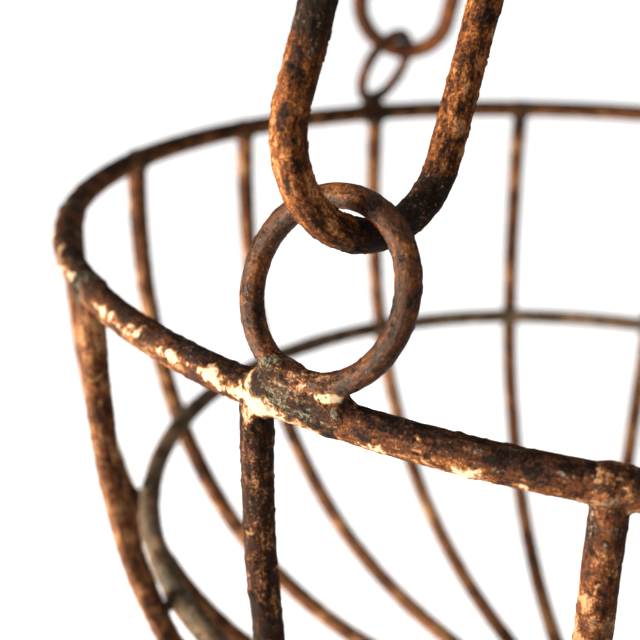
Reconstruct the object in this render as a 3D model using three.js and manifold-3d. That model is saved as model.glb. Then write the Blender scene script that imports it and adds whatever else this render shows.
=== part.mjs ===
// A wire hanging basket: a round rim with a cage of bowed ribs welded under it, three eyes standing
// on the rim, and three chains of long links that meet on a crown ring under an S-hook.
// Millimetres, +Z up. The origin is the saddle of the hook, the point that rests on the rail.
// Inside the basket group, the centre of the rim is the zero point.
import * as THREE from 'three';
import { mergeVertices } from 'three/addons/utils/BufferGeometryUtils.js';
import Module from 'manifold-3d';

const wasm = await Module();
wasm.setup();

// Wire radii.
const RIM_WIRE = 4.1;
const RIB_WIRE = 3.9;
const HOOP_WIRE = 3.8;
const FOOT_WIRE = 4;
const EYE_WIRE = 2.8;
const LINK_WIRE = 3.85;
const CROWN_WIRE = 4.2;
const HOOK_WIRE = 4.5;

// The cage.
const RIM_RADIUS = 200;
const RIB_COUNT = 16;
const BOWL_DEPTH = 220;
const BOWL_FULLNESS = 2.45; // exponent of the bowl's outline: 2 is an ellipse, more is squarer
const HOOP_DROP = 105; // rim centre down to the hoop
const HOOP_CLEARANCE = 0.9; // between the hoop and the ribs around it
const FOOT_RADIUS = 45;
const FOOT_DROP = 218.5;

// Eyes, links, crown ring and hook.
const EYE_LEAN = 22; // degrees inward, along the pull of the chain
const EYE_SEAT = 17; // degrees outward from the top of the rim, where an eye is welded on
const LINK_HALF_WIDTH = 21.2;
const LINK_LENGTH = 140; // from the wire's centre at one bend to its centre at the other
const LINKS_PER_CHAIN = 4;
const CROWN_RADIUS = 35;
const CROWN_SPREAD = 30; // degrees round the crown ring between neighbouring chains
const HOOK_LOWER_BEND = 14;
const HOOK_UPPER_BEND = 22;
const HOOK_SPAN = 70; // between the centres of the hook's two bends
const HOOK_TIP = -20; // degrees, where the upper bend stops
const SADDLE_HALF_ANGLE = 10; // degrees of the upper bend on each side of its flat saddle

// Gaps left between pieces, so that each stays a body of its own.
const WELD_GAP = 0.3;
const LINK_PLAY = 0.8;

// Facets: sides of each wire and steps along it.
const WIRE_SIDES = 6;
const STOUT_SIDES = 8;
const RIM_STEPS = 48;
const FOOT_STEPS = 32;
const RIB_STEPS = 12;
const RING_STEPS = 20;
const CROWN_STEPS = 24;
const BEND_STEPS = 8;
const HOOK_STEPS = 10;
const BEAD_COLUMNS = 12;
const BEAD_ROWS = 8;

const MERGE_TOLERANCE = 1e-4;
const SETTLING_ROUNDS = 60;

// The weld bead at the foot of an eye: half sizes along the rim, across it and upward.
const BEAD_ALONG = 11;
const BEAD_ACROSS = 5.5;
const BEAD_HEIGHT = 5.5;

// The three chains: where each eye stands on the rim and how far it is twisted off the rim's line,
// in degrees, the radius of its ring, how far round the ring from its top the chain hangs, where
// the chain meets the crown ring, how far each link is turned past square to what it hangs on, and
// how far the second link sways along the rim. The turns of a chain bring its last link square to
// the crown ring. The eyes were bent by hand, so they differ. Swaying the other way, the left chain
// would meet the front one.
const CHAINS = [
  {
    name: 'front',
    azimuth: -86,
    twist: -3,
    eyeRadius: 19.7,
    slide: 3,
    crownAngle: 0,
    turns: [14, 34, 34, 8],
    sway: [-45, 45],
  },
  {
    name: 'left',
    azimuth: 157.5,
    twist: 27,
    eyeRadius: 17,
    slide: 0,
    crownAngle: -CROWN_SPREAD,
    turns: [-22, 9, 9, 8.5],
    sway: [-45, 0],
  },
  {
    name: 'right',
    azimuth: 22.5,
    twist: 0,
    eyeRadius: 17,
    slide: 0,
    crownAngle: CROWN_SPREAD,
    turns: [6, 6, 6, 4.5],
    sway: [-45, 45],
  },
];

// How far the other joints turn, in degrees. A positive turn takes a link outward.
const SIDEWAYS_LINK = 1;
const LINK_RANGES = [[0, 100], null, [0, 90], [0, 90]];
const CROWN_RANGE = [-60, 60];
const HOOK_RANGE = [-90, 90];

const UP = new THREE.Vector3(0, 0, 1);

const MATERIALS = {
  rim: new THREE.MeshStandardMaterial({ color: 0x4a3a33, roughness: 0.8, metalness: 0.35 }),
  cage: new THREE.MeshStandardMaterial({ color: 0x6e4730, roughness: 0.85, metalness: 0.3 }),
  eye: new THREE.MeshStandardMaterial({ color: 0x4d3234, roughness: 0.6, metalness: 0.45 }),
  link: new THREE.MeshStandardMaterial({ color: 0x9a5a33, roughness: 0.85, metalness: 0.3 }),
  weld: new THREE.MeshStandardMaterial({ color: 0x3f3a33, roughness: 0.9, metalness: 0.3 }),
  hook: new THREE.MeshStandardMaterial({ color: 0x7a4a30, roughness: 0.8, metalness: 0.35 }),
};

const radians = THREE.MathUtils.degToRad;

function polar(radius, azimuth, height) {
  return new THREE.Vector3(radius * Math.cos(azimuth), radius * Math.sin(azimuth), height);
}

// The point a distance along a direction from another point.
function offset(point, direction, distance) {
  return point.clone().addScaledVector(direction, distance);
}

// A wire's centreline as a list of points, walked one step at a time, so that a bend can carry
// short steps and a straight a single long one.
class WirePath extends THREE.Curve {
  constructor(points, closed) {
    super();
    this.points = points;
    this.closed = closed;
    this.spans = closed ? points.length : points.length - 1;
  }

  pointNumber(index) {
    const count = this.points.length;
    if (this.closed) {
      return this.points[(index + count) % count];
    }
    return this.points[THREE.MathUtils.clamp(index, 0, count - 1)];
  }

  getPoint(t, target = new THREE.Vector3()) {
    return target.copy(this.pointNumber(Math.round(t * this.spans)));
  }

  getPointAt(t, target) {
    return this.getPoint(t, target);
  }

  getTangent(t, target = new THREE.Vector3()) {
    const index = Math.round(t * this.spans);
    const behind = this.pointNumber(index - 1);
    return target.copy(this.pointNumber(index + 1)).sub(behind).normalize();
  }

  getTangentAt(t, target) {
    return this.getTangent(t, target);
  }
}

// The outline of a wire cut square across, with a flat side to each quarter when sides is 8.
function wireSection(radius, sides) {
  const corners = [];
  for (let i = 0; i < sides; i += 1) {
    const angle = ((i + 0.5) * 2 * Math.PI) / sides;
    corners.push(new THREE.Vector2(radius * Math.cos(angle), radius * Math.sin(angle)));
  }
  return corners;
}

// A wire with two cut ends.
function openWire(points, radius, sides) {
  const path = new WirePath(points, false);
  const section = new THREE.Shape(wireSection(radius, sides));
  return new THREE.ExtrudeGeometry(section, {
    steps: path.spans,
    extrudePath: path,
    bevelEnabled: false,
  });
}

// A wire welded end to end into a loop.
function closedWire(points, radius, sides) {
  const path = new WirePath(points, true);
  return new THREE.TubeGeometry(path, path.spans, radius, sides, true);
}

// A horizontal ring of wire centred on the vertical axis.
function levelRing(radius, wire, height, steps) {
  const profile = wireSection(wire, STOUT_SIDES).map(
    (corner) => new THREE.Vector2(radius + corner.x, height + corner.y),
  );
  profile.push(profile[0].clone());
  const ring = new THREE.LatheGeometry(profile, steps);
  ring.rotateX(Math.PI / 2);
  return ring;
}

// Points round a circle that spans two square directions.
function circlePoints(centre, across, along, radius, steps) {
  const points = [];
  for (let i = 0; i < steps; i += 1) {
    const angle = (i * 2 * Math.PI) / steps;
    const point = offset(centre, across, radius * Math.cos(angle));
    points.push(offset(point, along, radius * Math.sin(angle)));
  }
  return points;
}

// Points along an arc in the YZ plane, from one angle to another, both in degrees.
function hookArc(centreHeight, radius, from, to, steps) {
  const points = [];
  for (let i = 0; i <= steps; i += 1) {
    const angle = radians(from + ((to - from) * i) / steps);
    const height = centreHeight + radius * Math.sin(angle);
    points.push(new THREE.Vector3(0, radius * Math.cos(angle), height));
  }
  return points;
}

// The bowl's outline: how far from the axis it stands at a depth below the rim.
function bowlRadius(depth) {
  const share = (depth / BOWL_DEPTH) ** BOWL_FULLNESS;
  return RIM_RADIUS * (1 - share) ** (1 / BOWL_FULLNESS);
}

// The angle that the outline's own sweep has reached at a depth below the rim.
function sweepAtDepth(depth) {
  return Math.asin((depth / BOWL_DEPTH) ** (BOWL_FULLNESS / 2));
}

function ribPoints(azimuth) {
  const ends = RIM_WIRE + WELD_GAP;
  const footEdge = FOOT_RADIUS + FOOT_WIRE + WELD_GAP;
  const first = sweepAtDepth(ends);
  const last = Math.acos((footEdge / RIM_RADIUS) ** (BOWL_FULLNESS / 2));
  const points = [];
  for (let i = 0; i <= RIB_STEPS; i += 1) {
    const sweep = first + ((last - first) * i) / RIB_STEPS;
    const radius = RIM_RADIUS * Math.cos(sweep) ** (2 / BOWL_FULLNESS);
    const depth = BOWL_DEPTH * Math.sin(sweep) ** (2 / BOWL_FULLNESS);
    points.push(polar(radius, azimuth, -depth));
  }
  return points;
}

// How fast the outline closes in at a depth below the rim.
function bowlSlope(depth) {
  const steepness = ((depth / BOWL_DEPTH) * RIM_RADIUS) / bowlRadius(depth);
  return (RIM_RADIUS / BOWL_DEPTH) * steepness ** (BOWL_FULLNESS - 1);
}

// The hoop lies inside the ribs, so its radius comes from the slope of the bowl there.
function hoopRadius() {
  const reach = RIB_WIRE + HOOP_WIRE + HOOP_CLEARANCE;
  return bowlRadius(HOOP_DROP) - reach * Math.hypot(1, bowlSlope(HOOP_DROP));
}

// An eye stands on the rim, along the rim's line or twisted off it, and leans in toward the crown.
function eyeFrame(chain) {
  const outward = polar(1, radians(chain.azimuth + chain.twist), 0);
  const tangent = new THREE.Vector3().crossVectors(UP, outward);
  const lean = radians(EYE_LEAN);
  const rise = offset(UP.clone().multiplyScalar(Math.cos(lean)), outward, -Math.sin(lean));
  const root = polar(RIM_RADIUS, radians(chain.azimuth), 0);
  const seat = radians(EYE_SEAT);
  const reach = RIM_WIRE + WELD_GAP + EYE_WIRE;
  const foot = offset(offset(root, UP, reach * Math.cos(seat)), outward, reach * Math.sin(seat));
  const centre = offset(foot, rise, chain.eyeRadius);
  const slide = radians(chain.slide);
  const up = offset(rise.clone().multiplyScalar(Math.cos(slide)), tangent, Math.sin(slide));
  const heading = new THREE.Vector3().crossVectors(up, new THREE.Vector3().crossVectors(tangent, rise));
  const top = offset(centre, up, chain.eyeRadius);
  return { outward, tangent, rise, root, foot, centre, top, heading, radius: chain.eyeRadius };
}

// The point of the crown ring's wire that a chain hangs from.
function crownPoint(chain, crown) {
  const angle = radians(chain.crownAngle);
  const aside = CROWN_RADIUS * Math.sin(angle);
  const height = crown.z + CROWN_RADIUS * (1 - Math.cos(angle));
  return new THREE.Vector3(aside, crown.y, height);
}

// How far apart a taut chain holds its eye's top and its point on the crown ring.
function chainReach() {
  const atEye = EYE_WIRE + LINK_WIRE + LINK_PLAY;
  const atCrown = CROWN_WIRE + LINK_WIRE + LINK_PLAY;
  const atLinks = (2 * LINK_WIRE + LINK_PLAY) * (LINKS_PER_CHAIN - 1);
  return LINKS_PER_CHAIN * LINK_LENGTH - atLinks - atEye - atCrown;
}

// The lowest point of the crown ring's wire, placed so that all three chains are taut. The eyes
// aren't evenly spaced, so it stands a little to the front of the rim's centre.
function placeCrown(eyes) {
  const reach = chainReach();
  const crown = new THREE.Vector3(0, 0, reach);
  for (let i = 0; i < SETTLING_ROUNDS; i += 1) {
    const slack = CHAINS.map((chain, n) => reach - eyes[n].top.distanceTo(crownPoint(chain, crown)));
    crown.z += (slack[0] + slack[1] + slack[2]) / 3;
    crown.y += (slack[0] - (slack[1] + slack[2]) / 2) / 2;
  }
  return crown;
}

// Every link of one chain: its lower and upper bends, the way up it and the normal of its plane.
function chainLinks(chain, eye, crown) {
  const up = crownPoint(chain, crown).sub(eye.top).normalize();
  const side = offset(eye.heading, up, -eye.heading.dot(up)).normalize();
  const away = new THREE.Vector3().crossVectors(side, up);
  const pitch = LINK_LENGTH - 2 * LINK_WIRE - LINK_PLAY;
  const links = [];
  let bottom = offset(eye.top, up, -(EYE_WIRE + LINK_WIRE + LINK_PLAY));
  let turn = 0;
  for (let i = 0; i < LINKS_PER_CHAIN; i += 1) {
    turn += chain.turns[i];
    const normal = side.clone().multiplyScalar(Math.cos(radians(turn)));
    normal.addScaledVector(away, Math.sin(radians(turn)));
    links.push({ bottom, top: offset(bottom, up, LINK_LENGTH), up, normal });
    bottom = offset(bottom, up, pitch);
    turn += 90;
  }
  return links;
}

// Two bends joined by two straights.
function linkPoints(link) {
  const width = new THREE.Vector3().crossVectors(link.up, link.normal);
  const points = [];
  for (const [end, upward] of [[link.top, 1], [link.bottom, -1]]) {
    const centre = offset(end, link.up, -upward * LINK_HALF_WIDTH);
    for (let i = 0; i <= BEND_STEPS; i += 1) {
      const angle = (i * Math.PI) / BEND_STEPS;
      const aside = upward * LINK_HALF_WIDTH * Math.cos(angle);
      const ahead = upward * LINK_HALF_WIDTH * Math.sin(angle);
      points.push(offset(offset(centre, width, aside), link.up, ahead));
    }
  }
  return points;
}

// The height of the hook's lower bend centre: the bend cradles the top of the crown ring.
function hookLowerCentre(crown) {
  const crownTop = crown.z + 2 * CROWN_RADIUS;
  return crownTop - (CROWN_WIRE + HOOK_WIRE + LINK_PLAY) + HOOK_LOWER_BEND;
}

// The S-hook: a lower bend, a straight that crosses over, and an upper bend with a flat saddle.
function hookPoints(crown) {
  const lower = hookLowerCentre(crown);
  const upper = lower + HOOK_SPAN;
  const heading = THREE.MathUtils.radToDeg(
    Math.acos(-(HOOK_LOWER_BEND + HOOK_UPPER_BEND) / HOOK_SPAN),
  );
  const saddleStart = 90 + SADDLE_HALF_ANGLE;
  const saddleEnd = 90 - SADDLE_HALF_ANGLE;
  return [
    ...hookArc(lower, HOOK_LOWER_BEND, -180, heading - 90, HOOK_STEPS),
    ...hookArc(upper, HOOK_UPPER_BEND, heading + 90, saddleStart, HOOK_STEPS / 2),
    ...hookArc(upper, HOOK_UPPER_BEND, saddleEnd, HOOK_TIP, HOOK_STEPS / 2),
  ].map((point) => point.setY(point.y + crown.y));
}

// The height of the flat underside of the hook's saddle.
function saddleHeight(crown) {
  const chord = HOOK_UPPER_BEND * Math.cos(radians(SADDLE_HALF_ANGLE));
  const flat = HOOK_WIRE * Math.cos(Math.PI / STOUT_SIDES);
  return hookLowerCentre(crown) + HOOK_SPAN + chord - flat;
}

function toSolid(geometry) {
  const bare = geometry.clone();
  bare.deleteAttribute('normal');
  bare.deleteAttribute('uv');
  const welded = mergeVertices(bare, MERGE_TOLERANCE);
  return new wasm.Manifold(new wasm.Mesh({
    numProp: 3,
    vertProperties: Float32Array.from(welded.attributes.position.array),
    triVerts: Uint32Array.from(welded.index.array),
  }));
}

function toGeometry(solid) {
  const mesh = solid.getMesh();
  const geometry = new THREE.BufferGeometry();
  geometry.setAttribute('position', new THREE.BufferAttribute(mesh.vertProperties, 3));
  geometry.setIndex(new THREE.BufferAttribute(mesh.triVerts, 1));
  geometry.computeVertexNormals();
  return geometry;
}

// The bead of weld round the foot of an eye, hollowed where the rim and the eye pass through it.
function weldBead(eye) {
  const ball = new THREE.SphereGeometry(1, BEAD_COLUMNS, BEAD_ROWS);
  ball.scale(BEAD_ALONG, BEAD_ACROSS, BEAD_HEIGHT);
  const across = new THREE.Vector3().crossVectors(eye.rise, eye.tangent);
  const stance = new THREE.Matrix4().makeBasis(eye.tangent, across, eye.rise);
  stance.setPosition(eye.root.clone().lerp(eye.foot, 0.5));
  ball.applyMatrix4(stance);
  const rim = levelRing(RIM_RADIUS, RIM_WIRE + WELD_GAP, 0, RIM_STEPS);
  const ring = closedWire(
    circlePoints(eye.centre, eye.tangent, eye.rise, eye.radius, RING_STEPS),
    EYE_WIRE + WELD_GAP,
    WIRE_SIDES,
  );
  const pieces = toSolid(ball).subtract(toSolid(rim)).subtract(toSolid(ring)).decompose();
  pieces.sort((a, b) => b.volume() - a.volume());
  return toGeometry(pieces[0]);
}

const group = new THREE.Group();
const basket = new THREE.Group();
group.add(basket);

function addNode(name, geometry, material) {
  const mesh = new THREE.Mesh(geometry, material);
  mesh.name = name;
  basket.add(mesh);
}

addNode('rim', levelRing(RIM_RADIUS, RIM_WIRE, 0, RIM_STEPS), MATERIALS.rim);
addNode('hoop', levelRing(hoopRadius(), HOOP_WIRE, -HOOP_DROP, RIM_STEPS), MATERIALS.cage);
addNode('foot_ring', levelRing(FOOT_RADIUS, FOOT_WIRE, -FOOT_DROP, FOOT_STEPS), MATERIALS.cage);
for (let i = 0; i < RIB_COUNT; i += 1) {
  const azimuth = ((i - RIB_COUNT / 4) * 2 * Math.PI) / RIB_COUNT;
  const name = `rib_${String(i).padStart(2, '0')}`;
  addNode(name, openWire(ribPoints(azimuth), RIB_WIRE, WIRE_SIDES), MATERIALS.cage);
}

const eyes = CHAINS.map(eyeFrame);
const crown = placeCrown(eyes);
const joints = [];

// Notes a pivot: which piece turns on which, about what point and axis, and how far.
function addJoint(child, parent, point, axis, range) {
  joints.push({ child, parent, point, axis, range });
}

CHAINS.forEach((chain, n) => {
  const eye = eyes[n];
  const loop = circlePoints(eye.centre, eye.tangent, eye.rise, eye.radius, RING_STEPS);
  addNode(`eye_${chain.name}`, closedWire(loop, EYE_WIRE, WIRE_SIDES), MATERIALS.eye);
  addNode(`weld_${chain.name}`, weldBead(eye), MATERIALS.weld);
  let parent = 'frame';
  let pivot = eye.top;
  let axis = eye.heading;
  chainLinks(chain, eye, crown).forEach((link, i) => {
    const name = `link_${chain.name}_${i + 1}`;
    addNode(name, closedWire(linkPoints(link), LINK_WIRE, WIRE_SIDES), MATERIALS.link);
    const sideways = i === SIDEWAYS_LINK;
    const heading = sideways ? eye.heading : eye.outward;
    const range = sideways ? chain.sway : LINK_RANGES[i];
    const sense = Math.sign(new THREE.Vector3().crossVectors(axis, link.up).dot(heading));
    addJoint(name, parent, pivot, axis.clone().multiplyScalar(sense), range);
    parent = name;
    pivot = link.top;
    axis = new THREE.Vector3().crossVectors(link.up, link.normal);
  });
});

const ringCentre = offset(crown, UP, CROWN_RADIUS);
const crownAxis = new THREE.Vector3(1, 0, 0);
const crownLoop = circlePoints(ringCentre, crownAxis, UP, CROWN_RADIUS, CROWN_STEPS);
addNode('crown_ring', closedWire(crownLoop, CROWN_WIRE, STOUT_SIDES), MATERIALS.hook);
addNode('s_hook', openWire(hookPoints(crown), HOOK_WIRE, STOUT_SIDES), MATERIALS.hook);
addJoint('crown_ring', `link_front_${LINKS_PER_CHAIN}`, crown, crownAxis, CROWN_RANGE);
addJoint('s_hook', 'crown_ring', offset(ringCentre, UP, CROWN_RADIUS), crownAxis, HOOK_RANGE);

// The whole basket hangs from the origin.
basket.position.set(0, -crown.y, -saddleHeight(crown));
group.userData.joints = joints.map((joint) => ({
  ...joint,
  point: joint.point.clone().add(basket.position),
}));

export default group;
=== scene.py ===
"""A hanging basket of rusted, once painted iron wire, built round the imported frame.

Every wire is swept as a fine skin with its own pits, scale and flakes of old paint, and every
joint of the cage gets a lump of weld. Wires and welds are worked out in millimetres and scaled to
metres as their meshes are made. The floor, the lights and the camera are in metres.
"""

import itertools
import math

import bpy
import numpy as np
from mathutils import Matrix, Vector


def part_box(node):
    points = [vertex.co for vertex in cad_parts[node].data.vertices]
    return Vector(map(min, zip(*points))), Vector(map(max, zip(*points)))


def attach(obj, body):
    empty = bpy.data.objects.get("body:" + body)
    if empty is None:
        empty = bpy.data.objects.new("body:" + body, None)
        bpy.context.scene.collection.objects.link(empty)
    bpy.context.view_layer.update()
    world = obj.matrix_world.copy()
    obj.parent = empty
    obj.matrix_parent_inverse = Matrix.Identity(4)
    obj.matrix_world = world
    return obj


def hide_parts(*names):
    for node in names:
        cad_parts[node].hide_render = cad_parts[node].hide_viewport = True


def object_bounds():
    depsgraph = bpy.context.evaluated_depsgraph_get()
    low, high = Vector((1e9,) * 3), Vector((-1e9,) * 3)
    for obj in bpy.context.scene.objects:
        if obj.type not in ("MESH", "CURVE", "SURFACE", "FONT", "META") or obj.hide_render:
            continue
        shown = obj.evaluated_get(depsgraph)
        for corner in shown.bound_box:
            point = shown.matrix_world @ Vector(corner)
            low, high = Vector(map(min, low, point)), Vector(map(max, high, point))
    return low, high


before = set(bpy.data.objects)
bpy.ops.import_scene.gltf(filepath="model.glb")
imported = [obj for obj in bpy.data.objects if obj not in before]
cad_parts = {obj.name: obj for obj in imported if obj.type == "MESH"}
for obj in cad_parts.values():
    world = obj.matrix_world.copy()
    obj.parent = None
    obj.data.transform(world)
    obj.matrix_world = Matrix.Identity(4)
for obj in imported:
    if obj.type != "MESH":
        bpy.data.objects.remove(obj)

CAD_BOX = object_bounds()
MM = 0.001
UP = np.array([0.0, 0.0, 1.0])

# Wire radii, millimetres.
RIM_WIRE = 4.1
RIB_WIRE = 3.85
HOOP_WIRE = 3.8
FOOT_WIRE = 4.0
EYE_WIRE = 2.8
LINK_WIRE = 3.8
CROWN_WIRE = 4.15
HOOK_WIRE = 4.5

# The bowl, the eyes, the links and the hook, millimetres and degrees.
RIM_RADIUS = 200
FOOT_RADIUS = 45
RIB_COUNT = 16
BOWL_DEPTH = 220
BOWL_FULLNESS = 2.45
EYE_RADIUS = {"front": 19.7, "left": 17, "right": 17}
LINK_HALF_WIDTH = 21.2
LINK_LENGTH = 140
CROWN_RADIUS = 35
HOOK_LOWER_BEND = 14
HOOK_UPPER_BEND = 22
HOOK_SPAN = 70
HOOK_TIP = -20
OCTAGON_FLAT = math.cos(math.pi / 8)

# How finely a skin is drawn: step along the wire in millimetres, and sides round it.
CLOSE_UP = (0.5, 48)
RIM_DETAIL = (0.7, 40)
PLAIN = ((1.0, 24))

CHAINS = ("front", "left", "right")
LINKS_PER_CHAIN = 4
FRONT_RIB = 0
NEAREST_LINK = "link_front_1"

# The rusted surface, millimetres: how far each kind of feature stands out, and how wide it is.
LUMP_HEIGHT = 0.07
LUMP_SIZE = 7.0
SCALE_HEIGHT = 0.13
SCALE_SIZE = 1.8
SCAB_HEIGHT = 0.22
SCAB_SIZE = 3.0
FLAKE_HEIGHT = 0.10
FLAKE_EDGE_SIZE = 2.2
PIT_DEPTH = 0.32
PIT_SIZE = 1.5
PIT_CLUSTER_SIZE = 11.0
SKIN_SINK = 0.06
BEND_LENGTH = 55.0
SWELL_SHARE = 0.02
SWELL_LENGTH = 20.0

# The worn edge that closes a cut end: reach and thickness of each ring, as shares of the radius.
END_REACH = np.array([0.0, 0.16, 0.26, 0.32])
END_THICKNESS = np.array([1.0, 0.93, 0.78, 0.45])

# Welds, millimetres. The small ones join ribs to rings, the large ones join eyes to the rim.
SMALL_WELD = {"step": 0.75, "fillet": 2.2, "proud": 0.02}
EYE_WELD = {"step": 0.5, "fillet": 2.0, "proud": 0.12}
HEAVY_WELD = {"step": 0.5, "fillet": 4.0, "proud": 0.12}
RIM_WELD_REACH = 9.5
CAGE_WELD_REACH = 9.0
EYE_WELD_REACH = 18.0
WELD_MARGIN = 2.0

# The beads of an eye's weld: place along the rim and radius. Only the front eye has a heavy one.
WELD_BEADS = {
    "front": ((-12.0, 2.3), (-8.5, 2.9), (-4.0, 3.3), (0.5, 3.0), (5.0, 2.4), (8.5, 2.0)),
    "left": ((-2.5, 1.6), (1.5, 1.8)),
    "right": ((-2.0, 1.8), (2.5, 1.6)),
}

# Thick old paint round the front eye's weld: place from the joint, size and amount.
JUNCTION_PAINT = (
    ((-9.5, -3.5, -4.0), (5.5, 4.5, 3.2), 0.90),
    ((-13.5, -3.0, 1.5), (1.9, 5.0, 4.8), 0.80),
    ((-13.0, -5.0, -9.0), (2.2, 3.5, 3.6), 0.85),
    ((0.0, -2.5, -6.5), (8.0, 3.0, 2.0), 0.60),
    ((8.5, -3.0, 2.8), (4.4, 3.0, 1.4), 0.90),
    ((2.0, -3.0, 3.8), (1.7, 2.5, 1.6), 0.50),
)


# ---------------------------------------------------------------- frame measurements

def middle(node):
    """The middle of a CAD node's box, in millimetres."""
    low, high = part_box(node)
    return np.array((low + high) / 2) / MM


def half_size(node):
    """Half of each side of a CAD node's box, in millimetres."""
    low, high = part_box(node)
    return np.array((high - low) / 2) / MM


def node_points(node):
    """A CAD node's corners, in millimetres."""
    return np.array([v.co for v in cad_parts[node].data.vertices], float) / MM


def principal_axes(node):
    """The centre of a CAD node and its unit axes, longest first."""
    points = np.unique(node_points(node).round(4), axis=0)
    centre = points.mean(0)
    spread, axes = np.linalg.eigh(np.cov((points - centre).T))
    return centre, [axes[:, i] for i in np.argsort(-spread)]


RIM_CENTRE = middle("rim")
HOOP_HEIGHT = middle("hoop")[2]
FOOT_HEIGHT = middle("foot_ring")[2]
HOOP_RADIUS = half_size("hoop")[0] - HOOP_WIRE * OCTAGON_FLAT
FRONT_JOINT = middle("weld_front")


# ---------------------------------------------------------------- noise

LOW_BITS = 0xFFFFFFFF
TEN_BITS = 1023
AXIS_PRIMES = (73856093, 19349663, 83492791)
SEED_PRIME = 977
FIRST_PRIME = 2654435761
SECOND_PRIME = 2246822519


def lattice_hash(cells, seed):
    """A scrambled whole number for each lattice point."""
    mixed = int(seed * SEED_PRIME)
    for axis, prime in enumerate(AXIS_PRIMES):
        mixed = mixed ^ cells[:, axis] * prime
    mixed = (mixed & LOW_BITS) * FIRST_PRIME & LOW_BITS
    mixed = (mixed ^ mixed >> 15) * SECOND_PRIME & LOW_BITS
    return mixed ^ mixed >> 13


def gradient_noise(points, seed):
    """Smooth noise about zero, one hill or hollow to a unit."""
    cells = np.floor(points).astype(np.int64)
    inner = points - cells
    ease = inner ** 3 * (inner * (inner * 6 - 15) + 10)
    total = np.zeros(len(points))
    for corner in itertools.product((0, 1), repeat=3):
        mixed = lattice_hash(cells + corner, seed)
        slope = np.stack([mixed >> shift & TEN_BITS for shift in (0, 10, 20)], 1) / (TEN_BITS / 2) - 1
        weight = np.prod(np.where(corner, ease, 1 - ease), axis=1)
        total += weight * ((inner - corner) * slope).sum(1)
    return total


def fractal(points, size, octaves=4, seed=0.0, gain=0.55):
    """Fractal noise about zero, mostly within one half, with features of a size in millimetres."""
    total = np.zeros(len(points))
    for octave in range(octaves):
        total += gain ** octave * gradient_noise(points * 2 ** octave / size + 17.3 * octave, seed + octave)
    return 1.2 * total


def smooth_step(values, low, high):
    t = np.clip((values - low) / (high - low), 0, 1)
    return t * t * (3 - 2 * t)


def patch(points, centre, size):
    """One at a spot and fading to zero about a size away from it."""
    return np.exp(-(((points - centre) / size) ** 2).sum(1))


# ---------------------------------------------------------------- centrelines

def unit(vectors):
    return vectors / np.linalg.norm(vectors, axis=-1, keepdims=True)


def evenly(points, step, closed):
    """The same line walked in equal steps."""
    line = np.vstack([points, points[:1]]) if closed else points
    run = np.concatenate([[0], np.cumsum(np.linalg.norm(np.diff(line, axis=0), axis=1))])
    count = max(8, round(run[-1] / step))
    marks = np.linspace(0, run[-1], count, endpoint=False) if closed else np.linspace(0, run[-1], count + 1)
    return np.stack([np.interp(marks, run, line[:, k]) for k in range(3)], 1), marks


def circle(centre, across, along, radius):
    angle = np.linspace(0, 2 * np.pi, 1440, endpoint=False)[:, None]
    return centre + radius * (np.cos(angle) * across + np.sin(angle) * along)


def arc(centre, across, along, radius, start, stop):
    angle = np.radians(np.linspace(start, stop, 240))[:, None]
    return centre + radius * (np.cos(angle) * across + np.sin(angle) * along)


def rib_line(index):
    """A rib's centreline from the rim down to the foot ring, and the normal of its plane."""
    azimuth = (index - RIB_COUNT / 4) * 2 * np.pi / RIB_COUNT
    outward = np.array([np.cos(azimuth), np.sin(azimuth), 0])
    foot_share = (FOOT_RADIUS / RIM_RADIUS) ** (BOWL_FULLNESS / 2)
    sweep = np.linspace(0.0, math.acos(foot_share), 800)[:, None]
    radius = RIM_RADIUS * np.cos(sweep) ** (2 / BOWL_FULLNESS)
    depth = BOWL_DEPTH * np.sin(sweep) ** (2 / BOWL_FULLNESS)
    return RIM_CENTRE + radius * outward - depth * UP, np.cross(UP, outward)


def link_line(node):
    """A link's centreline from its lowest point, outer strand first, and its plane's normal."""
    centre, (along, width, _) = principal_axes(node)
    along = along * np.sign(along[2])
    width = outward_of(width, centre)
    reach = LINK_LENGTH / 2 - LINK_HALF_WIDTH
    angle = np.linspace(0, 2 * np.pi, 1200, endpoint=False)
    aside = LINK_HALF_WIDTH * np.sin(angle)
    ahead = -LINK_HALF_WIDTH * np.cos(angle) - reach * np.sign(np.cos(angle))
    return centre + aside[:, None] * width + ahead[:, None] * along, np.cross(width, along)


def outward_of(direction, centre):
    """The direction or its opposite, whichever leads away from the basket's axis."""
    away = (centre - RIM_CENTRE) * [1, 1, 0]
    return direction if direction @ away > 0 else -direction


def ring_line(node, radius):
    """A standing ring's centreline, starting at its lowest point, and its plane's normal."""
    centre, (_, _, normal) = principal_axes(node)
    normal = outward_of(normal, centre)
    rise = unit(UP - normal[2] * normal)
    side = np.cross(rise, normal)
    return circle(centre, -rise, side, radius), np.cross(-rise, side)


def hook_line():
    """The S-hook's centreline in its own plane, from the lower tip to the upper tip."""
    across = np.array([0.0, 1.0, 0.0])
    upper = (HOOK_WIRE - HOOK_UPPER_BEND) * UP
    lower = upper - HOOK_SPAN * UP
    heading = math.degrees(math.acos(-(HOOK_LOWER_BEND + HOOK_UPPER_BEND) / HOOK_SPAN))
    bend = arc(lower, across, UP, HOOK_LOWER_BEND, -180, heading - 90)
    crook = arc(upper, across, UP, HOOK_UPPER_BEND, heading + 90, HOOK_TIP)
    return np.vstack([bend, crook]), np.array([1.0, 0.0, 0.0])


# ---------------------------------------------------------------- the skin of a wire

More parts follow.
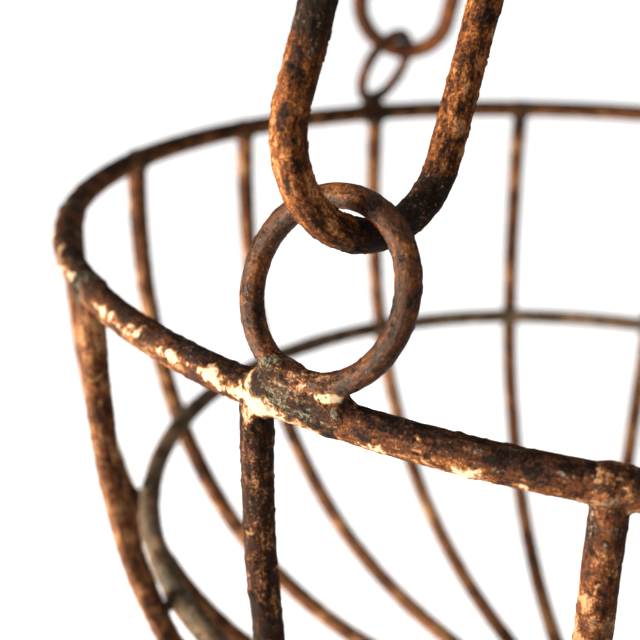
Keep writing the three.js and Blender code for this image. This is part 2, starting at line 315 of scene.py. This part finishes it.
def make_object(name, vertices, faces, material, body, wire_co, wear):
    """A smooth mesh object that rides on a body and carries the coordinates its material reads."""
    mesh = bpy.data.meshes.new(name)
    mesh.from_pydata((vertices * MM).tolist(), [], faces)
    mesh.polygons.foreach_set("use_smooth", [True] * len(mesh.polygons))
    mesh.attributes.new("wire_co", "FLOAT_VECTOR", "POINT").data.foreach_set(
        "vector", wire_co.astype(np.float32).ravel()
    )
    mesh.attributes.new("wear", "FLOAT_COLOR", "POINT").data.foreach_set(
        "color", wear.astype(np.float32).ravel()
    )
    mesh.materials.append(material)
    mesh.update()
    made = bpy.data.objects.new(name, mesh)
    bpy.context.scene.collection.objects.link(made)
    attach(made, body)
    return made


def wobble(line, tangents, normal, amount, seed):
    """The small bends of a wire shaped by hand."""
    aside = np.cross(tangents, normal)
    drift = fractal(line, BEND_LENGTH, 2, seed)[:, None] * aside
    drift += fractal(line, BEND_LENGTH, 2, seed + 5)[:, None] * normal
    return line + amount * drift


def surface_relief(co, wear, scale):
    """How far the rusted surface stands out from the round wire, in millimetres."""
    lumps = LUMP_HEIGHT * fractal(co * [0.5, 1, 1], LUMP_SIZE, 3, 1.0)
    crust = SCALE_HEIGHT * fractal(co, SCALE_SIZE, 3, 2.0)
    scabs = SCAB_HEIGHT * smooth_step(fractal(co, SCAB_SIZE, 4, 3.0), 0.25, 0.42)
    pits = PIT_DEPTH * wear[:, 3]
    torn_paint = wear[:, 0] + 0.9 * fractal(co, FLAKE_EDGE_SIZE, 4, 4.0)
    flakes = FLAKE_HEIGHT * smooth_step(torn_paint, 0.42, 0.56)
    return scale * (lumps + crust + scabs - pits + flakes) - SKIN_SINK


def pit_field(co):
    """Clusters of small pits: one where a pit is deepest."""
    cluster = smooth_step(fractal(co, PIT_CLUSTER_SIZE, 2, 11.0), -0.1, 0.35)
    return cluster * smooth_step(fractal(co, PIT_SIZE, 3, 12.0), 0.22, 0.5)


def sweep(
    name, node, line, normal, wire, look, detail=PLAIN, closed=True, body="frame", relief=1.0, bend=0.0
):
    """Draws one wire as a skin round its centreline and lets it stand for its CAD node."""
    step, sides = detail
    seed = float(sum(map(ord, name)) % 97)
    line, run = evenly(line, step, closed)
    if closed:
        tangents = unit(np.roll(line, -1, 0) - np.roll(line, 1, 0))
    else:
        tangents = unit(np.gradient(line, axis=0))
    if bend:
        line = wobble(line, tangents, normal, bend, seed)
    radii = wire * (1 + SWELL_SHARE * fractal(line, SWELL_LENGTH, 2, seed + 9))
    if not closed:
        line, run, tangents, radii = with_rounded_ends(line, run, tangents, radii)
    around = (np.arange(sides) + 0.5) * 2 * np.pi / sides
    outward = np.cross(tangents, normal)
    ways = np.cos(around)[None, :, None] * outward[:, None] + np.sin(around)[None, :, None] * normal
    co = np.empty(ways.shape)
    co[..., 0] = run[:, None]
    co[..., 1] = wire * np.cos(around)
    co[..., 2] = wire * np.sin(around)
    co = co.reshape(-1, 3) + seed * 31.0
    spots = (line[:, None] + radii[:, None, None] * ways).reshape(-1, 3)
    facing = ways.reshape(-1, 3)
    wear = look["wear"](spots, facing, co, np.repeat(run, sides))
    wear = np.column_stack([wear, pit_field(co)])
    height = surface_relief(co, wear, relief)
    taper = np.repeat(np.minimum(1, radii / wire), sides)
    spots = spots + facing * (height * taper)[:, None]
    vertices, faces = skin_faces(spots, len(line), sides, closed)
    if not closed:
        co = np.vstack([co, co[:1], co[-1:]])
        wear = np.vstack([wear, wear[:1], wear[-1:]])
    made = make_object(name, vertices, faces, look["material"], body, co, wear)
    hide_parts(node)
    return made


def with_rounded_ends(line, run, tangents, radii):
    """Extra rings that close each cut end of a wire over a worn edge."""
    count = len(END_REACH)
    before = END_REACH * radii[0]
    after = END_REACH * radii[-1]
    head = line[:1] - tangents[:1] * before[:, None]
    tail = line[-1:] + tangents[-1:] * after[:, None]
    line = np.vstack([head[::-1], line[1:-1], tail])
    run = np.concatenate([run[0] - before[::-1], run[1:-1], run[-1] + after])
    first = np.repeat(tangents[:1], count, 0)
    last = np.repeat(tangents[-1:], count, 0)
    tangents = np.vstack([first, tangents[1:-1], last])
    radii = np.concatenate([radii[0] * END_THICKNESS[::-1], radii[1:-1], radii[-1] * END_THICKNESS])
    return line, run, tangents, radii


def skin_faces(spots, rings, sides, closed):
    """Quads between neighbouring rings, and a fan over each end of an open wire."""
    faces = []
    for i in range(rings if closed else rings - 1):
        j = (i + 1) % rings
        for k in range(sides):
            m = (k + 1) % sides
            faces.append((i * sides + k, j * sides + k, j * sides + m, i * sides + m))
    if closed:
        return spots, faces
    head = spots[:sides].mean(0)
    tail = spots[-sides:].mean(0)
    first, last = len(spots), len(spots) + 1
    base = (rings - 1) * sides
    for k in range(sides):
        m = (k + 1) % sides
        faces.append((first, k, m))
        faces.append((last, base + m, base + k))
    return np.vstack([spots, head, tail]), faces


# ---------------------------------------------------------------- weld lumps

def surface_net(field, low, step):
    """The zero surface of a field of signed distances, as vertices and quads."""
    inside = field < 0
    shape = np.array(field.shape) - 1
    corners = [np.array(c) for c in itertools.product((0, 1), repeat=3)]
    count = sum(
        inside[c[0]:c[0] + shape[0], c[1]:c[1] + shape[1], c[2]:c[2] + shape[2]].astype(int)
        for c in corners
    )
    active = (count > 0) & (count < 8)
    number = np.full(active.shape, -1)
    number[active] = np.arange(active.sum())
    cells = np.argwhere(active)
    total = np.zeros(cells.shape)
    hits = np.zeros(len(cells))
    for a, b in itertools.combinations(corners, 2):
        if abs(a - b).sum() != 1:
            continue
        at_a = field[tuple((cells + a).T)]
        at_b = field[tuple((cells + b).T)]
        crosses = (at_a < 0) != (at_b < 0)
        share = np.where(crosses, at_a / np.where(crosses, at_a - at_b, 1), 0)
        total += np.where(crosses[:, None], cells + a + share[:, None] * (b - a), 0)
        hits += crosses
    vertices = low + step * total / hits[:, None]
    return vertices, net_quads(inside, number)


def net_quads(inside, number):
    """One quad round every grid edge that crosses the surface."""
    quads = []
    for axis in range(3):
        one = np.eye(3, dtype=int)[(axis + 1) % 3]
        two = np.eye(3, dtype=int)[(axis + 2) % 3]
        start = np.take(inside, range(inside.shape[axis] - 1), axis)
        end = np.take(inside, range(1, inside.shape[axis]), axis)
        edges = np.argwhere(start != end)
        ring = [number[tuple((edges - s).T)] for s in (0 * one, one, one + two, two)]
        flip = start[tuple(edges.T)]
        for a, b, c, d, f in zip(*ring, flip):
            quads.append((a, b, c, d) if f else (d, c, b, a))
    return quads


def blend_min(a, b, width):
    """The smaller of two distances, rounded over where they are alike."""
    share = np.maximum(width - abs(a - b), 0) / width
    return np.minimum(a, b) - share * share * width / 4


def wire_distance(points, line, radius):
    """Distance from each point to the skin of a wire whose centreline is a list of close points."""
    nearest = np.full(len(points), np.inf)
    for spot in line:
        nearest = np.minimum(nearest, ((points - spot) ** 2).sum(1))
    return np.sqrt(nearest) - radius


def near(line, spot, reach):
    """The part of a centreline within reach of a point, at half-millimetre steps."""
    line = line[np.linalg.norm(line - spot, axis=1) < reach + 3]
    return evenly(line, 0.5, False)[0] if len(line) > 2 else line


def weld_shape(centre, wires, lumps, reach, seed, step, fillet, proud):
    """A weld as wires and lumps blended together, sunk below the wires away from its middle."""
    half = reach + WELD_MARGIN
    axis = np.arange(-half, half + step, step)
    grid = np.stack(np.meshgrid(axis, axis, axis, indexing="ij"), -1).reshape(-1, 3) + centre
    field = None
    for line, radius in wires:
        distance = wire_distance(grid, near(line, centre, half * 1.8), radius)
        field = distance if field is None else blend_min(field, distance, fillet)
    for spot, radius in lumps:
        distance = np.linalg.norm(grid - spot, axis=1) - radius
        field = blend_min(field, distance, fillet)
    far = np.linalg.norm(grid - centre, axis=1) / reach
    ripple = np.zeros(len(grid))
    close = (abs(field) < 2.5) & (far < 1.2)
    ridges = 0.5 - abs(fractal(grid[close], 3.5, 3, seed + 6)) * 2
    ripple[close] = 0.7 * fractal(grid[close], 4.5, 3, seed) + 0.35 * fractal(grid[close], 1.4, 3, seed + 3)
    ripple[close] += 0.35 * ridges
    sink = 1.1 * smooth_step(far + 0.25 * ripple, 0.55, 0.95) + 9.0 * smooth_step(far, 0.95, 1.1)
    field = field - proud - ripple + sink
    size = len(axis)
    return surface_net(field.reshape(size, size, size), centre + axis[0], step)


def weld_object(name, shapes, look):
    """Joins weld lumps into one piece of the cage."""
    vertices = []
    faces = []
    start = 0
    for spots, quads in shapes:
        vertices.append(spots)
        faces += [tuple(i + start for i in quad) for quad in quads]
        start += len(spots)
    vertices = np.vstack(vertices)
    facing = unit(vertices - RIM_CENTRE)
    wear = look["wear"](vertices, facing, vertices, vertices[:, 0])
    wear = np.column_stack([wear, pit_field(vertices)])
    return make_object(name, vertices, faces, look["material"], "frame", vertices, wear)


# ---------------------------------------------------------------- wear: paint, old dark coat, bright rust, and painted shade and light on the rim and the front link

def junction_paint(spots):
    """How much thick old paint each spot has, round the front eye's weld."""
    return sum(amount * patch(spots, FRONT_JOINT + place, size) for place, size, amount in JUNCTION_PAINT)


def even_wear(paint, dark, warm):
    """Wear whose paint, dark coat and warm rust vary by large soft noise."""
    def wear(spots, facing, co, run):
        return np.column_stack([
            paint + 0.42 * fractal(co, 12.0, 3, 21.0) + junction_paint(spots),
            dark + 0.45 * fractal(co, 18.0, 3, 22.0),
            warm + 0.40 * fractal(co, 16.0, 3, 23.0),
        ])
    return wear


def rim_wear_shade_and_light(spots, facing, co, run):
    """Paint keeps to the outer side of the rim, higher on its left. A dark coat lies in patches,
    with more on faces turned up as painted shade on the top; the warm rust is brighter on faces
    turned down as painted light on the underside.
    """
    outward = unit((spots - RIM_CENTRE) * [1, 1, 0])
    tilt = np.degrees(np.arctan2(facing[:, 2], (facing * outward).sum(1)))
    left = smooth_step(-(spots - FRONT_JOINT)[:, 0], 8.0, 30.0)
    band = np.exp(-((tilt + 24 - 42 * left) / 34.0) ** 2)
    paint = (0.64 + 0.10 * left) * band - 0.30 + 1.0 * fractal(co * [0.6, 1, 1], 4.6, 4, 21.0)
    # More dark coat on faces turned up is painted shade on the rim's top; less warm rust on faces turned up
    # and more on faces turned down is painted light on its underside.
    dark = 0.40 * smooth_step(facing[:, 2], 0.0, 0.9) - 0.20 + 0.5 * fractal(co, 10.0, 3, 22.0)
    warm = 0.15 * left - 0.3 * facing[:, 2] + 0.45 * fractal(co, 12.0, 3, 23.0)
    return np.column_stack([paint + junction_paint(spots), dark, warm])


def front_link_wear_and_light(spots, facing, co, run):
    """The front link: charcoal high on its outer strand, bright rust and scuffed paint below it, with
    more paint and brighter rust on the side facing the key lamp as painted light.

    Places are millimetres of wire from the link's lowest point: run up the outer strand, back up
    the inner one.
    """
    layers = even_wear(-0.15, -0.15, -0.25)(spots, facing, co, run)
    back = run.max() - run
    # Faces turned towards the key lamp get more paint and brighter rust: painted light on the lit side of the
    # wire.
    lit = smooth_step((facing * [-0.8, -0.5, -0.2]).sum(1), -0.2, 0.8)
    layers[:, 0] += 0.40 * bump_at(run, 24, 10) * lit + 0.40 * bump_at(run, 46, 5)
    layers[:, 1] += 0.6 * bump_at(run, 51, 8) + 0.45 * bump_at(back, 15, 4.5) + 0.5 * bump_at(back, 26, 3)
    layers[:, 2] += (0.30 + 0.45 * lit) * bump_at(run, 24, 18) + 0.25 * bump_at(back, 42, 14)
    layers[:, 2] -= 0.30 * bump_at(back, 12, 14)
    return layers


def bump_at(run, place, width):
    """One at a place along a wire, fading to zero about a width to each side."""
    return np.exp(-((run - place) / width) ** 2)


# ---------------------------------------------------------------- materials

class Nodes:
    """A short way to write a shader: one call makes a node, sets it up and feeds its inputs."""

    def __init__(self, name):
        self.material = bpy.data.materials.new(name)
        self.material.use_nodes = True
        self.tree = self.material.node_tree
        self.tree.nodes.clear()

    def make(self, kind, settings=None, **inputs):
        node = self.tree.nodes.new("ShaderNode" + kind)
        for key, value in (settings or {}).items():
            setattr(node, key, value)
        for key, value in inputs.items():
            self.feed(node.inputs[key.replace("_", " ")], value)
        return node

    def feed(self, socket, value):
        if isinstance(value, bpy.types.NodeSocket):
            self.tree.links.new(value, socket)
        else:
            socket.default_value = value

    def math(self, operation, a, b=0.0):
        node = self.tree.nodes.new("ShaderNodeMath")
        node.operation = operation
        self.feed(node.inputs[0], a)
        self.feed(node.inputs[1], b)
        return node.outputs[0]

    def total(self, *terms):
        """A sum of (value, weight) pairs."""
        result = 0.0
        for value, weight in terms:
            result = self.math("ADD", self.math("MULTIPLY", value, weight), result)
        return result

    def step(self, value, low, high):
        node = self.make("MapRange", {"interpolation_type": "SMOOTHSTEP"}, Value=value)
        node.inputs["From Min"].default_value = low
        node.inputs["From Max"].default_value = high
        return node.outputs[0]

    def noise(self, vector, size, detail=5.0, roughness=0.6, distortion=0.0):
        """Noise between 0 and 1 with features of a size in millimetres."""
        node = self.make(
            "TexNoise",
            Vector=vector,
            Scale=1 / size,
            Detail=detail,
            Roughness=roughness,
            Distortion=distortion,
        )
        return node.outputs["Fac"]

    def ramp(self, value, stops):
        node = self.make("ValToRGB", Fac=value)
        elements = node.color_ramp.elements
        for i, (place, colour) in enumerate(stops):
            element = elements[i] if i < 2 else elements.new(place)
            element.position = place
            element.color = (*colour, 1)
        return node.outputs["Color"]

    def mix(self, share, a, b, blend="MIX"):
        node = self.make("Mix", {"data_type": "RGBA", "blend_type": blend})
        self.feed(node.inputs[0], share)
        self.feed(node.inputs[6], a if isinstance(a, bpy.types.NodeSocket) else (*a, 1))
        self.feed(node.inputs[7], b if isinstance(b, bpy.types.NodeSocket) else (*b, 1))
        return node.outputs[2]

    def scaled(self, vector, factors):
        node = self.tree.nodes.new("ShaderNodeVectorMath")
        node.operation = "MULTIPLY"
        self.feed(node.inputs[0], vector)
        node.inputs[1].default_value = factors
        return node.outputs[0]


# Linear colours.
SOOT = (0.008, 0.005, 0.004)
CHOCOLATE = (0.026, 0.010, 0.005)
PLUM = (0.064, 0.023, 0.010)
BROWN = (0.085, 0.034, 0.017)
RUST_RED = (0.115, 0.033, 0.010)
RUST = (0.20, 0.060, 0.014)
ORANGE = (0.38, 0.125, 0.024)
TAN = (0.55, 0.29, 0.13)
CREAM = (0.68, 0.54, 0.36)
PEACH = (0.50, 0.27, 0.125)
OLIVE = (0.060, 0.045, 0.026)
CHARCOAL = (0.016, 0.014, 0.012)
MOSS = (0.12, 0.10, 0.055)
GREY = (0.24, 0.22, 0.17)
WARM_SHEEN = (1.0, 0.72, 0.52)
OLD_PAINT = [(0.0, ORANGE), (0.16, PEACH), (0.34, CREAM), (1.0, CREAM)]

# How deep the finest grain looks, metres.
GRAIN_DEPTH = 0.00035


def iron(name, rust, dark, gloss=0.0, fleck=0.0, shift=0.0):
    """Rusted iron: bands of rust colour, an old dark coat, flakes of cream paint, pits and grain."""
    n = Nodes(name)
    co = n.make("Attribute", {"attribute_name": "wire_co"}).outputs["Vector"]
    place = n.scaled(n.make("TexCoord").outputs["Object"], (1 / MM, 1 / MM, 1 / MM))
    # The wear layers give paint, dark coat and warm rust. On the rim and the front link they also carry
    # painted shade and painted light that follow which way a face turns.
    wear_node = n.make("Attribute", {"attribute_name": "wear"})
    layers = n.make("SeparateColor", Color=wear_node.outputs["Color"]).outputs
    pit = wear_node.outputs["Alpha"]
    broad = n.noise(co, 9.0, 4, 0.6)
    blotch = n.noise(n.scaled(co, (0.55, 1, 1)), 2.6, 7, 0.62, 0.4)
    grain = n.noise(co, 0.7, 6, 0.65)
    dust = n.noise(co, 0.22, 4, 0.7)
    streak = n.noise(n.scaled(co, (0.14, 1, 1)), 1.0, 6, 0.62)
    torn = n.noise(place, 2.4, 8, 0.66, 0.6)

    tone = n.total(
        (broad, 1.1),
        (blotch, 1.9),
        (streak, 1.3),
        (grain, 1.7),
        (dust, 1.2),
        (layers[2], 0.6),
        (1.0, shift - 3.15),
    )
    colour = n.ramp(tone, rust)

    coat = n.total((layers[1], 1.0), (blotch, 1.8), (grain, 0.9), (streak, 0.6), (1.0, -1.45))
    coat = n.step(coat, 0.36, 0.52)
    coat_colour = n.ramp(n.total((grain, 2.2), (dust, 1.3), (blotch, 1.4), (streak, 1.0), (1.0, -2.45)), dark)
    colour = n.mix(coat, colour, coat_colour)

    specks = n.step(n.total((dust, 0.9), (grain, 0.9), (blotch, 0.5), (1.0, fleck - 0.20)), 1.13, 1.27)
    colour = n.mix(n.math("MULTIPLY", specks, 0.7), colour, PEACH)

    flake = n.total((layers[0], 1.0), (torn, 1.9), (grain, 0.45), (1.0, -1.18))
    stain = n.step(flake, 0.30, 0.50)
    colour = n.mix(n.math("MULTIPLY", stain, 0.65), colour, ORANGE)
    paint = n.step(flake, 0.49, 0.53)
    thickness = n.total((flake, 1.3), (grain, 0.8), (dust, 0.4), (1.0, -1.15))
    paint_colour = n.ramp(thickness, OLD_PAINT)
    colour = n.mix(paint, colour, paint_colour)

    black_pits = n.step(n.total((pit, 0.9), (n.noise(co, 1.0, 5, 0.7), 1.5), (1.0, -0.75)), 0.30, 0.5)
    colour = n.mix(n.math("MULTIPLY", black_pits, 0.8), colour, SOOT)

    rough = n.total((blotch, 0.5), (grain, 0.4), (1.0, 0.20 - 1.5 * gloss), (paint, 0.10))
    height = n.total(
        (grain, 0.7),
        (dust, 0.3),
        (blotch, 0.7),
        (paint, 0.4),
        (black_pits, -0.9),
        (coat, 0.2),
        (streak, 0.3),
    )
    bump = n.make("Bump", Strength=1.0, Distance=GRAIN_DEPTH, Height=height)
    surface = n.make(
        "BsdfPrincipled", Base_Color=colour, Roughness=rough, Metallic=0.1, Normal=bump.outputs[0]
    )
    surface.inputs["Specular IOR Level"].default_value = 0.12 + 1.2 * gloss
    surface.inputs["Specular Tint"].default_value = (*WARM_SHEEN, 1)
    n.make("OutputMaterial", Surface=surface.outputs[0])
    return n.material


def rust_ramp(*colours):
    """Colour stops spread evenly from the darkest rust to the brightest."""
    return [(0.05 + 0.85 * i / (len(colours) - 1), colour) for i, colour in enumerate(colours)]


DARK_COAT = [(0.15, SOOT), (0.4, CHARCOAL), (0.62, CHOCOLATE), (0.82, BROWN), (1.0, GREY)]
WELD_COAT = [(0.1, SOOT), (0.35, CHARCOAL), (0.5, OLIVE), (0.7, MOSS), (0.9, GREY)]
RED_RUST = rust_ramp(SOOT, CHOCOLATE, RUST_RED, RUST_RED, RUST, ORANGE)
LINK_RUST = rust_ramp(SOOT, CHOCOLATE, RUST_RED, RUST, ORANGE, TAN)
EYE_RUST = rust_ramp(SOOT, CHOCOLATE, PLUM, PLUM, RUST_RED, RUST, ORANGE)
WELD_RUST = rust_ramp(SOOT, CHARCOAL, CHOCOLATE, BROWN, RUST_RED, TAN)
BROWN_RUST = rust_ramp(SOOT, CHOCOLATE, BROWN, RUST_RED, RUST, TAN)
FRONT_RIB_RUST = rust_ramp(SOOT, CHOCOLATE, CHOCOLATE, RUST_RED, TAN)
HOOP_RUST = rust_ramp(CHOCOLATE, OLIVE, BROWN, MOSS, BROWN, GREY, TAN)

LOOKS = {
    "rim": {
        "slot": "rim_iron",
        "material": iron("rim_rust", BROWN_RUST, DARK_COAT),
        "wear": rim_wear_shade_and_light,
    },
    "cage": {
        "slot": "cage_iron",
        "material": iron("cage_rust", BROWN_RUST, DARK_COAT, shift=0.05),
        "wear": even_wear(0.06, 0.0, 0.2),
    },
    "front_rib": {
        "slot": "cage_iron",
        "material": iron("front_rib_rust", FRONT_RIB_RUST, DARK_COAT, fleck=0.04),
        "wear": even_wear(-0.12, 0.0, -0.1),
    },
    "hoop": {
        "slot": "cage_iron",
        "material": iron("hoop_rust", HOOP_RUST, WELD_COAT),
        "wear": even_wear(0.16, -0.05, 0.15),
    },
    "eye": {
        "slot": "eye_iron",
        "material": iron("eye_rust", EYE_RUST, DARK_COAT, gloss=0.22, fleck=0.01),
        "wear": even_wear(-0.35, -0.3, 0.0),
    },
    "link": {
        "slot": "link_iron",
        "material": iron("link_rust", RED_RUST, DARK_COAT, gloss=0.05, fleck=-0.02),
        "wear": even_wear(-0.25, -0.1, 0.0),
    },
    "front_link": {
        "slot": "link_iron",
        "material": iron("front_link_rust", LINK_RUST, DARK_COAT, gloss=0.05),
        "wear": front_link_wear_and_light,
    },
    "weld": {
        "slot": "weld_bead",
        "material": iron("weld_rust", WELD_RUST, WELD_COAT, fleck=0.04),
        "wear": even_wear(0.02, 0.1, 0.1),
    },
    "hook": {
        "slot": "hook_iron",
        "material": iron("hook_rust", RED_RUST, DARK_COAT, gloss=0.08),
        "wear": even_wear(-0.25, 0.0, 0.0),
    },
}


# ---------------------------------------------------------------- the cage

def level_line(centre, radius):
    """A level ring's centreline, starting under a rib at the back, and its upward normal."""
    return circle(centre, np.array([0.0, 1.0, 0.0]), np.array([-1.0, 0.0, 0.0]), radius), UP


def build_cage():
    """The rim, hoop, foot ring and ribs; returns their centrelines."""
    rim = level_line(RIM_CENTRE, RIM_RADIUS)
    hoop = level_line(np.array([*RIM_CENTRE[:2], HOOP_HEIGHT]), HOOP_RADIUS)
    foot = level_line(np.array([*RIM_CENTRE[:2], FOOT_HEIGHT]), FOOT_RADIUS)
    sweep("rim_wire", "rim", *rim, RIM_WIRE, LOOKS["rim"], RIM_DETAIL)
    sweep("hoop_wire", "hoop", *hoop, HOOP_WIRE, LOOKS["hoop"], bend=0.3)
    sweep("foot_wire", "foot_ring", *foot, FOOT_WIRE, LOOKS["hoop"])
    ribs = [rib_line(i) for i in range(RIB_COUNT)]
    for i, rib in enumerate(ribs):
        look = LOOKS["front_rib"] if i == FRONT_RIB else LOOKS["cage"]
        detail = CLOSE_UP if i == FRONT_RIB else PLAIN
        sweep(f"rib_wire_{i:02d}", f"rib_{i:02d}", *rib, RIB_WIRE, look, detail, closed=False, bend=0.5)
    return rim[0], hoop[0], foot[0], [line for line, _ in ribs]


def build_rib_welds(rim, hoop, foot, ribs):
    """A small fillet of weld where each rib meets the rim, the hoop and the foot ring."""
    for name, ring, wire, reach in (
        ("rim_welds", rim, RIM_WIRE, RIM_WELD_REACH),
        ("hoop_welds", hoop, HOOP_WIRE, CAGE_WELD_REACH),
        ("foot_welds", foot, FOOT_WIRE, CAGE_WELD_REACH),
    ):
        shapes = []
        for i, rib in enumerate(ribs):
            if name == "rim_welds" and i == FRONT_RIB:
                continue
            gaps = np.linalg.norm(rib[:, None] - ring[None, ::4], axis=2)
            a, b = np.unravel_index(gaps.argmin(), gaps.shape)
            centre = (rib[a] + ring[::4][b]) / 2
            wires = [(ring, wire), (rib, RIB_WIRE)]
            shapes.append(weld_shape(centre, wires, [], reach, seed=i + 40.0, **SMALL_WELD))
        weld_object(name, shapes, LOOKS["weld"])


def build_eyes(rim, ribs):
    for chain in CHAINS:
        detail = CLOSE_UP if chain == "front" else PLAIN
        line, normal = ring_line(f"eye_{chain}", EYE_RADIUS[chain])
        sweep(f"eye_ring_{chain}", f"eye_{chain}", line, normal, EYE_WIRE, LOOKS["eye"], detail, relief=0.6)
        build_eye_weld(chain, line, rim, ribs)


def build_eye_weld(chain, eye, rim, ribs):
    """The lump of weld that joins an eye to the rim, with the nearest rib's top under it."""
    foot = eye[0]
    nearest = rim[np.linalg.norm(rim - foot, axis=1).argmin()]
    along = unit(np.cross(UP, nearest - RIM_CENTRE))
    rib = min(ribs, key=lambda line: np.linalg.norm(line[0] - nearest))
    seam = (foot + nearest) / 2
    lumps = [(seam + along * shift, radius) for shift, radius in WELD_BEADS[chain]]
    wires = [(rim, RIM_WIRE), (eye, EYE_WIRE), (rib, RIB_WIRE)]
    form = HEAVY_WELD if chain == "front" else EYE_WELD
    shape = weld_shape(seam, wires, lumps, EYE_WELD_REACH, seed=3.0, **form)
    made = weld_object(f"weld_lump_{chain}", [shape], LOOKS["weld"])
    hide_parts(f"weld_{chain}")


# ---------------------------------------------------------------- the chains and the hook

def build_chains():
    for chain in CHAINS:
        for i in range(1, LINKS_PER_CHAIN + 1):
            node = f"link_{chain}_{i}"
            look = LOOKS["front_link"] if node == NEAREST_LINK else LOOKS["link"]
            detail = CLOSE_UP if node == NEAREST_LINK else PLAIN
            sweep(f"{chain}_link_wire_{i}", node, *link_line(node), LINK_WIRE, look, detail, body=node)


def build_hanger():
    line, normal = ring_line("crown_ring", CROWN_RADIUS)
    sweep("crown_wire", "crown_ring", line, normal, CROWN_WIRE, LOOKS["hook"], body="crown_ring")
    line, normal = hook_line()
    sweep("hook_wire", "s_hook", line, normal, HOOK_WIRE, LOOKS["hook"], closed=False, body="s_hook")


# ---------------------------------------------------------------- floor, light, camera

FLOOR_DROP = 0.30
FLOOR_REACH = 30
FLOOR_GLOW = 0.9
FLOOR_GREYS = [(0.3, (0.86, 0.86, 0.855)), (0.7, (0.90, 0.90, 0.895))]
ROOM_LIGHT = 0.16

# Each lamp's name, place from the rim's middle, size, power and colour.
LAMPS = (
    ("key", (-0.80, -1.20, -0.10), 0.7, 54, (1.0, 0.95, 0.88)),
    ("fill", (1.3, -1.2, 0.6), 1.2, 5, (0.95, 0.98, 1.0)),
    ("floor_wash", (0.0, 0.0, 3.0), 4.0, 24, (1, 1, 1)),
)

# The camera: place from the rim's middle, turns in degrees, and lens and sensor in millimetres.
CAMERA_PLACE = Vector((0.15252, -0.35965, 0.10169))
CAMERA_YAW = 130.28
CAMERA_PITCH = -21.08
CAMERA_ROLL = 1.58
CAMERA_LENS = 62.7
CAMERA_SENSOR = 36
CAMERA_STOP = 14.6


def build_floor():
    """A pale floor that is near white to the camera."""
    n = Nodes("pale_floor")
    place = n.make("TexCoord").outputs["Object"]
    mottle = n.noise(place, 0.4, 4, 0.5)
    colour = n.ramp(mottle, FLOOR_GREYS)
    seen = n.make("LightPath").outputs["Is Camera Ray"]
    glow = n.math("MULTIPLY", seen, FLOOR_GLOW)
    surface = n.make(
        "BsdfPrincipled",
        Base_Color=colour,
        Roughness=0.9,
        Emission_Color=(1, 1, 1, 1),
        Emission_Strength=glow,
    )
    n.make("OutputMaterial", Surface=surface.outputs[0])
    height = CAD_BOX[0].z - FLOOR_DROP
    mesh = bpy.data.meshes.new("floor")
    corners = [(FLOOR_REACH * x, FLOOR_REACH * y, height) for x, y in ((-1, -1), (1, -1), (1, 1), (-1, 1))]
    mesh.from_pydata(corners, [], [(0, 1, 2, 3)])
    mesh.materials.append(n.material)
    floor = bpy.data.objects.new("floor", mesh)
    bpy.context.scene.collection.objects.link(floor)


def area_light(name, place, aim, size, power, colour):
    data = bpy.data.lights.new(name, "AREA")
    data.size = size
    data.energy = power
    data.color = colour
    light = bpy.data.objects.new(name, data)
    light.location = place
    light.rotation_mode = "QUATERNION"
    light.rotation_quaternion = (aim - place).to_track_quat("-Z", "Y")
    bpy.context.scene.collection.objects.link(light)


def build_world():
    """A white room to the camera, and a dimmer one to the object, so that the lamps shape it."""
    world = bpy.data.worlds.new("white_room")
    world.use_nodes = True
    tree = world.node_tree
    background = tree.nodes["Background"]
    background.inputs["Color"].default_value = (1, 1, 1, 1)
    path = tree.nodes.new("ShaderNodeLightPath")
    strength = tree.nodes.new("ShaderNodeMapRange")
    strength.inputs["To Min"].default_value = ROOM_LIGHT
    strength.inputs["To Max"].default_value = 1.0
    tree.links.new(path.outputs["Is Camera Ray"], strength.inputs["Value"])
    tree.links.new(strength.outputs[0], background.inputs["Strength"])
    bpy.context.scene.world = world


def build_lights(rim):
    for name, place, size, power, colour in LAMPS:
        area_light(name, rim + Vector(place), rim, size, power, colour)


def build_camera(rim):
    yaw, pitch, roll = (math.radians(a) for a in (CAMERA_YAW, CAMERA_PITCH, CAMERA_ROLL))
    ahead = Vector((math.cos(yaw) * math.cos(pitch), math.sin(yaw) * math.cos(pitch), math.sin(pitch)))
    right = Vector((math.sin(yaw), -math.cos(yaw), 0))
    up = right.cross(ahead)
    turned_right = math.cos(roll) * right + math.sin(roll) * up
    turned_up = math.cos(roll) * up - math.sin(roll) * right
    data = bpy.data.cameras.new("camera")
    data.lens = CAMERA_LENS
    data.sensor_width = CAMERA_SENSOR
    data.clip_start = 0.01
    data.dof.use_dof = True
    data.dof.aperture_fstop = CAMERA_STOP
    low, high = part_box("eye_front")
    focus = bpy.data.objects.new("focus", None)
    focus.location = ((low.x + high.x) / 2, low.y, low.z)
    bpy.context.scene.collection.objects.link(focus)
    data.dof.focus_object = focus
    camera = bpy.data.objects.new("camera", data)
    axes = Matrix((turned_right, turned_up, -ahead)).transposed().to_4x4()
    camera.matrix_world = Matrix.Translation(rim + CAMERA_PLACE) @ axes
    bpy.context.scene.collection.objects.link(camera)
    bpy.context.scene.camera = camera


RIM_PLACE = Vector(RIM_CENTRE * MM)
CAGE = build_cage()
build_rib_welds(*CAGE)
build_eyes(CAGE[0], CAGE[3])
build_chains()
build_hanger()
build_floor()
build_world()
build_lights(RIM_PLACE)
build_camera(RIM_PLACE)
bpy.context.scene.view_settings.view_transform = "Standard"
